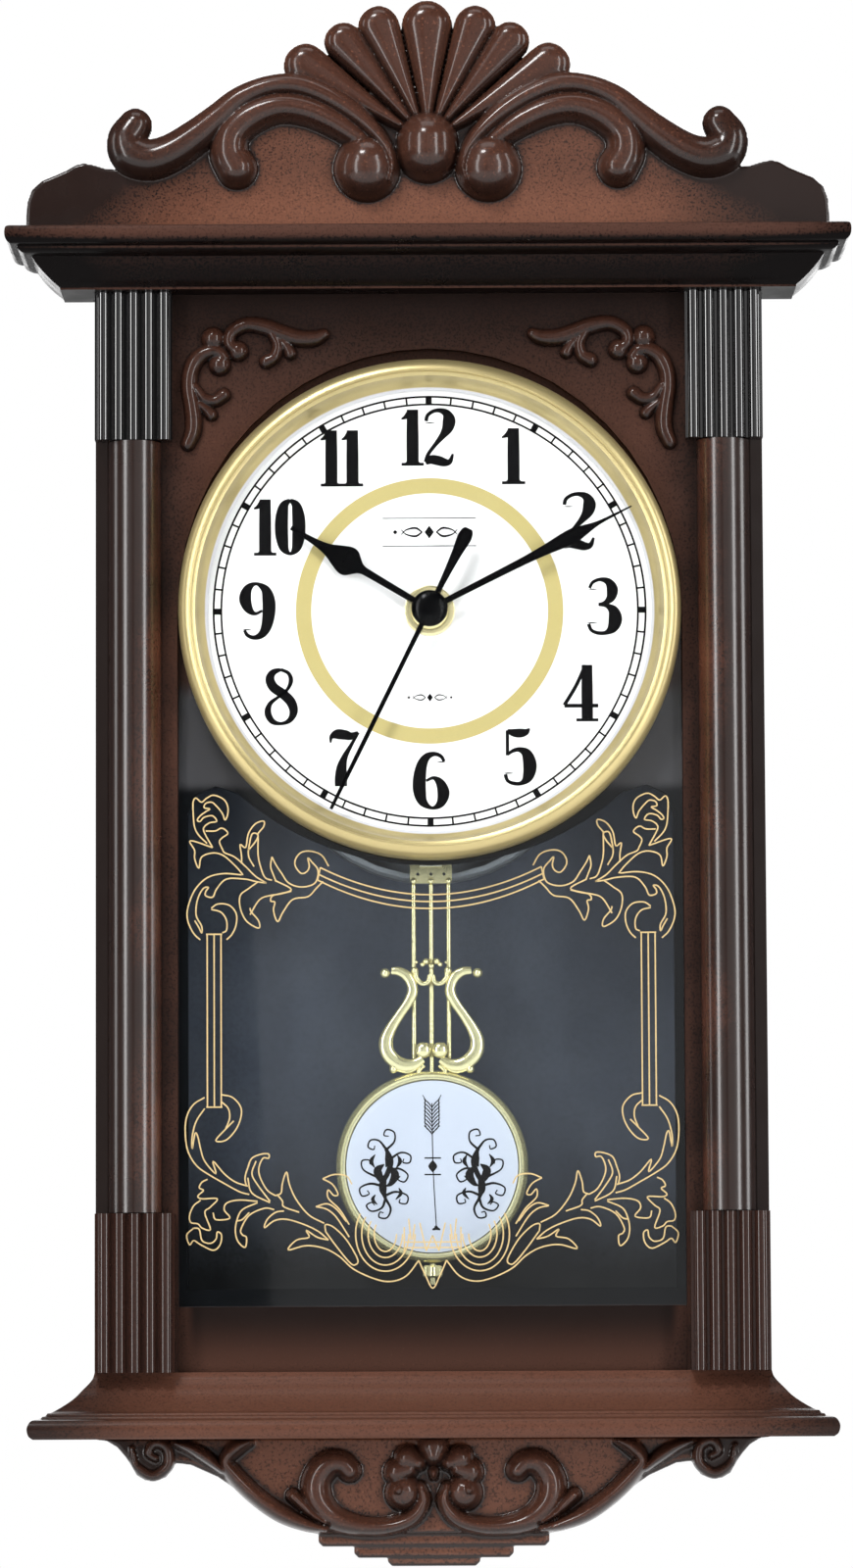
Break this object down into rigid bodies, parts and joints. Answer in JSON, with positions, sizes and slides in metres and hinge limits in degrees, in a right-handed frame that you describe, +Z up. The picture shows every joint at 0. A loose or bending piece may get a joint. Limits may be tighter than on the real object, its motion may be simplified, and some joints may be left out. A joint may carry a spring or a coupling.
{
  "type": "pendulum wall clock",
  "caption": "Wall clock with a moulded wood-look case, carved-look crest and apron, half-round columns, round dial and a lyre pendulum behind a glass pane.",
  "frame": {"origin": "the top of the keyhole slot, where the wall screw bears, in the plane of the wall", "axes": "+Z up, +X to the right seen from the front, +Y into the wall; the dial faces -Y"},
  "size_m": [0.305, 0.085, 0.5633],
  "materials": {
    "case_brown": "moulded plastic sprayed in a wood-look brown, satin, darker towards the edges",
    "case_dark": "moulded plastic sprayed in a dark wood-look brown, satin",
    "column_brown": "moulded plastic in a reddish wood-look brown, glossy",
    "back_black": "fine-textured black moulding",
    "board_slate": "matt slate-black board with a fine speckle",
    "cover_grey": "plain grey moulding",
    "clear_pane": "clear float glass with gold line ornament",
    "clear_lens": "clear lens",
    "dial_white": "printed white dial, smooth",
    "bezel_gold": "pale gold plated ring, polished",
    "hand_black": "black enamelled metal, semi-gloss",
    "pendulum_brass": "bright brass plating",
    "bob_porcelain": "glossy white enamel-like disc with printed scrolls",
    "movement_black": "fine-textured black moulding",
    "washer_rubber": "matt black rubber",
    "steel_fittings": "zinc plated",
    "stator_steel": "bare stamped sheet",
    "coil_copper": "enamelled copper winding",
    "circuit_green": "solder mask",
    "gear_nylon": "natural moulded nylon",
    "gear_brass": "turned and cut brass",
    "magnet_grey": "bare ferrite and steel",
    "battery_jacket": "plain printed jacket with no wording"
  },
  "bodies": {
    "case": {"crest_pediment": "case_brown", "cornice": "case_dark", "base_plinth": "case_brown", "lower_apron": "case_brown", "case_shell": "case_dark", "front_frame": "case_brown", "back_panel": "back_black", "hanger_plate": "steel_fittings", "access_cover": "cover_grey", "back_board": "board_slate", "glass_pane": "clear_pane", "dial_plate": "dial_white", "bezel_ring": "bezel_gold", "dial_lens": "clear_lens", "movement_front_case": "movement_black", "movement_back_cover": "movement_black", "sealing_washer": "washer_rubber", "centre_nut": "pendulum_brass", "aa_battery": "battery_jacket", "battery_contact_positive": "steel_fittings", "battery_contact_negative": "steel_fittings", "circuit_board": "circuit_green", "motor_coil": "coil_copper", "motor_stator": "stator_steel", "drive_coil": "coil_copper", "left_upper_fluted_block": "case_dark", "left_lower_fluted_block": "case_dark", "left_column_shaft": "column_brown", "left_corner_scroll": "case_brown", "right_upper_fluted_block": "case_dark", "right_lower_fluted_block": "case_dark", "right_column_shaft": "column_brown", "right_corner_scroll": "case_brown", "case_screw_1": "steel_fittings", "case_screw_2": "steel_fittings", "case_screw_3": "steel_fittings", "case_screw_4": "steel_fittings"},
    "second_train": {"seconds_wheel": "gear_nylon", "second_hand": "hand_black"},
    "third_train": {"third_wheel": "gear_nylon"},
    "minute_train": {"centre_wheel": "gear_brass", "minute_hand": "hand_black"},
    "motion_work": {"minute_wheel": "gear_nylon", "setting_knob": "movement_black"},
    "hour_train": {"hour_wheel": "gear_brass", "hour_hand": "hand_black"},
    "step_train": {"step_wheel": "gear_nylon"},
    "rotor": {"motor_rotor": "magnet_grey"},
    "pendulum": {"pendulum_lever": "gear_nylon", "lever_magnet": "magnet_grey", "pendulum_hanger": "pendulum_brass", "pendulum_rod_left": "pendulum_brass", "pendulum_rod_middle": "pendulum_brass", "pendulum_rod_right": "pendulum_brass", "pendulum_lyre": "pendulum_brass", "bob_ring": "pendulum_brass", "bob_face": "bob_porcelain", "bob_back": "pendulum_brass", "rating_screw": "pendulum_brass", "rating_nut": "pendulum_brass"}
  },
  "joints": [
    {"name": "second_hand_turn", "type": "hinge", "parent": "case", "child": "second_train", "pos_m": [0, -0.045, -0.0935], "axis": [0, 1, 0], "continuous": true},
    {"name": "third_wheel_turn", "type": "hinge", "parent": "case", "child": "third_train", "pos_m": [-0.00683, -0.045, -0.08777], "axis": [0, 1, 0], "continuous": true},
    {"name": "minute_hand_turn", "type": "hinge", "parent": "case", "child": "minute_train", "pos_m": [0, -0.045, -0.0935], "axis": [0, 1, 0], "continuous": true},
    {"name": "minute_wheel_turn", "type": "hinge", "parent": "case", "child": "motion_work", "pos_m": [0.009, -0.045, -0.0935], "axis": [0, 1, 0], "continuous": true},
    {"name": "hour_hand_turn", "type": "hinge", "parent": "case", "child": "hour_train", "pos_m": [0, -0.045, -0.0935], "axis": [0, 1, 0], "continuous": true},
    {"name": "step_wheel_turn", "type": "hinge", "parent": "case", "child": "step_train", "pos_m": [0.0042, -0.045, -0.08623], "axis": [0, 1, 0], "continuous": true},
    {"name": "rotor_turn", "type": "hinge", "parent": "case", "child": "rotor", "pos_m": [0.00972, -0.045, -0.0816], "axis": [0, 1, 0], "continuous": true},
    {"name": "pendulum_swing", "type": "hinge", "parent": "case", "child": "pendulum", "pos_m": [0, -0.0285, -0.1285], "axis": [0, 1, 0], "range_deg": [-10, 10]}
  ],
  "couplings": [
    {"joint": "third_wheel_turn", "follows": "second_hand_turn", "ratio": -0.13333},
    {"joint": "minute_hand_turn", "follows": "second_hand_turn", "ratio": 0.016667},
    {"joint": "minute_wheel_turn", "follows": "second_hand_turn", "ratio": -0.0055556},
    {"joint": "hour_hand_turn", "follows": "second_hand_turn", "ratio": 0.0013889},
    {"joint": "step_wheel_turn", "follows": "second_hand_turn", "ratio": -6},
    {"joint": "rotor_turn", "follows": "second_hand_turn", "ratio": 30}
  ]
}
